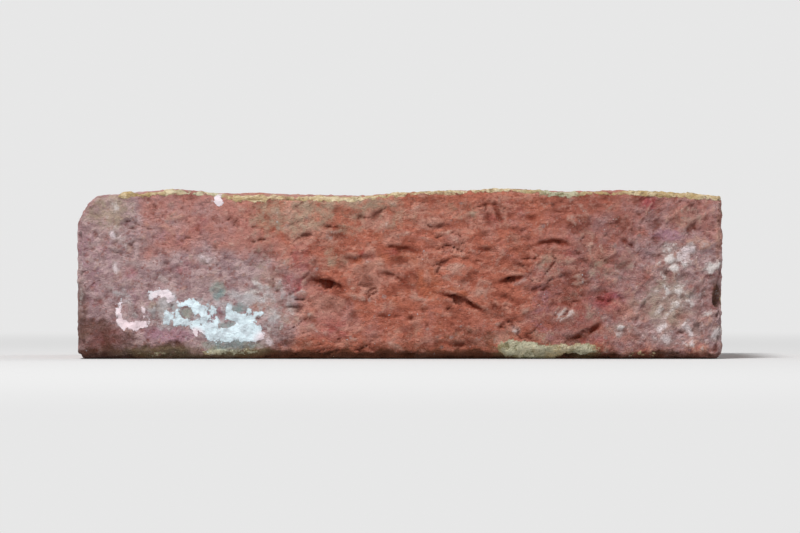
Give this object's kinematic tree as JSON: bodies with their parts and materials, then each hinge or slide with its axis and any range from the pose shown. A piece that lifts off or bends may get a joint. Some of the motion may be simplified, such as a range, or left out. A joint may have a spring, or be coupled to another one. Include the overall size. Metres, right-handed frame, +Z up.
{
  "type": "clay brick",
  "caption": "Hand-made clay brick from an old wall, lying on its bed, with a weathered red and mauve face, a wavy struck top, a worn corner and remains of white paint.",
  "frame": {"origin": "middle of the lower bed, at the centre of the brick's length and width", "axes": "+X along the brick's length, to the right for someone who looks at the weathered face; +Y from the weathered face into the brick; +Z up, from the lower bed to the struck top"},
  "size_m": [0.216, 0.102, 0.057],
  "materials": {
    "fired_clay": "unglazed, sandy and matt, weathered, with remains of white paint, lime bloom and mortar"
  },
  "bodies": {
    "root": {"clay_brick": "fired_clay"}
  },
  "joints": []
}
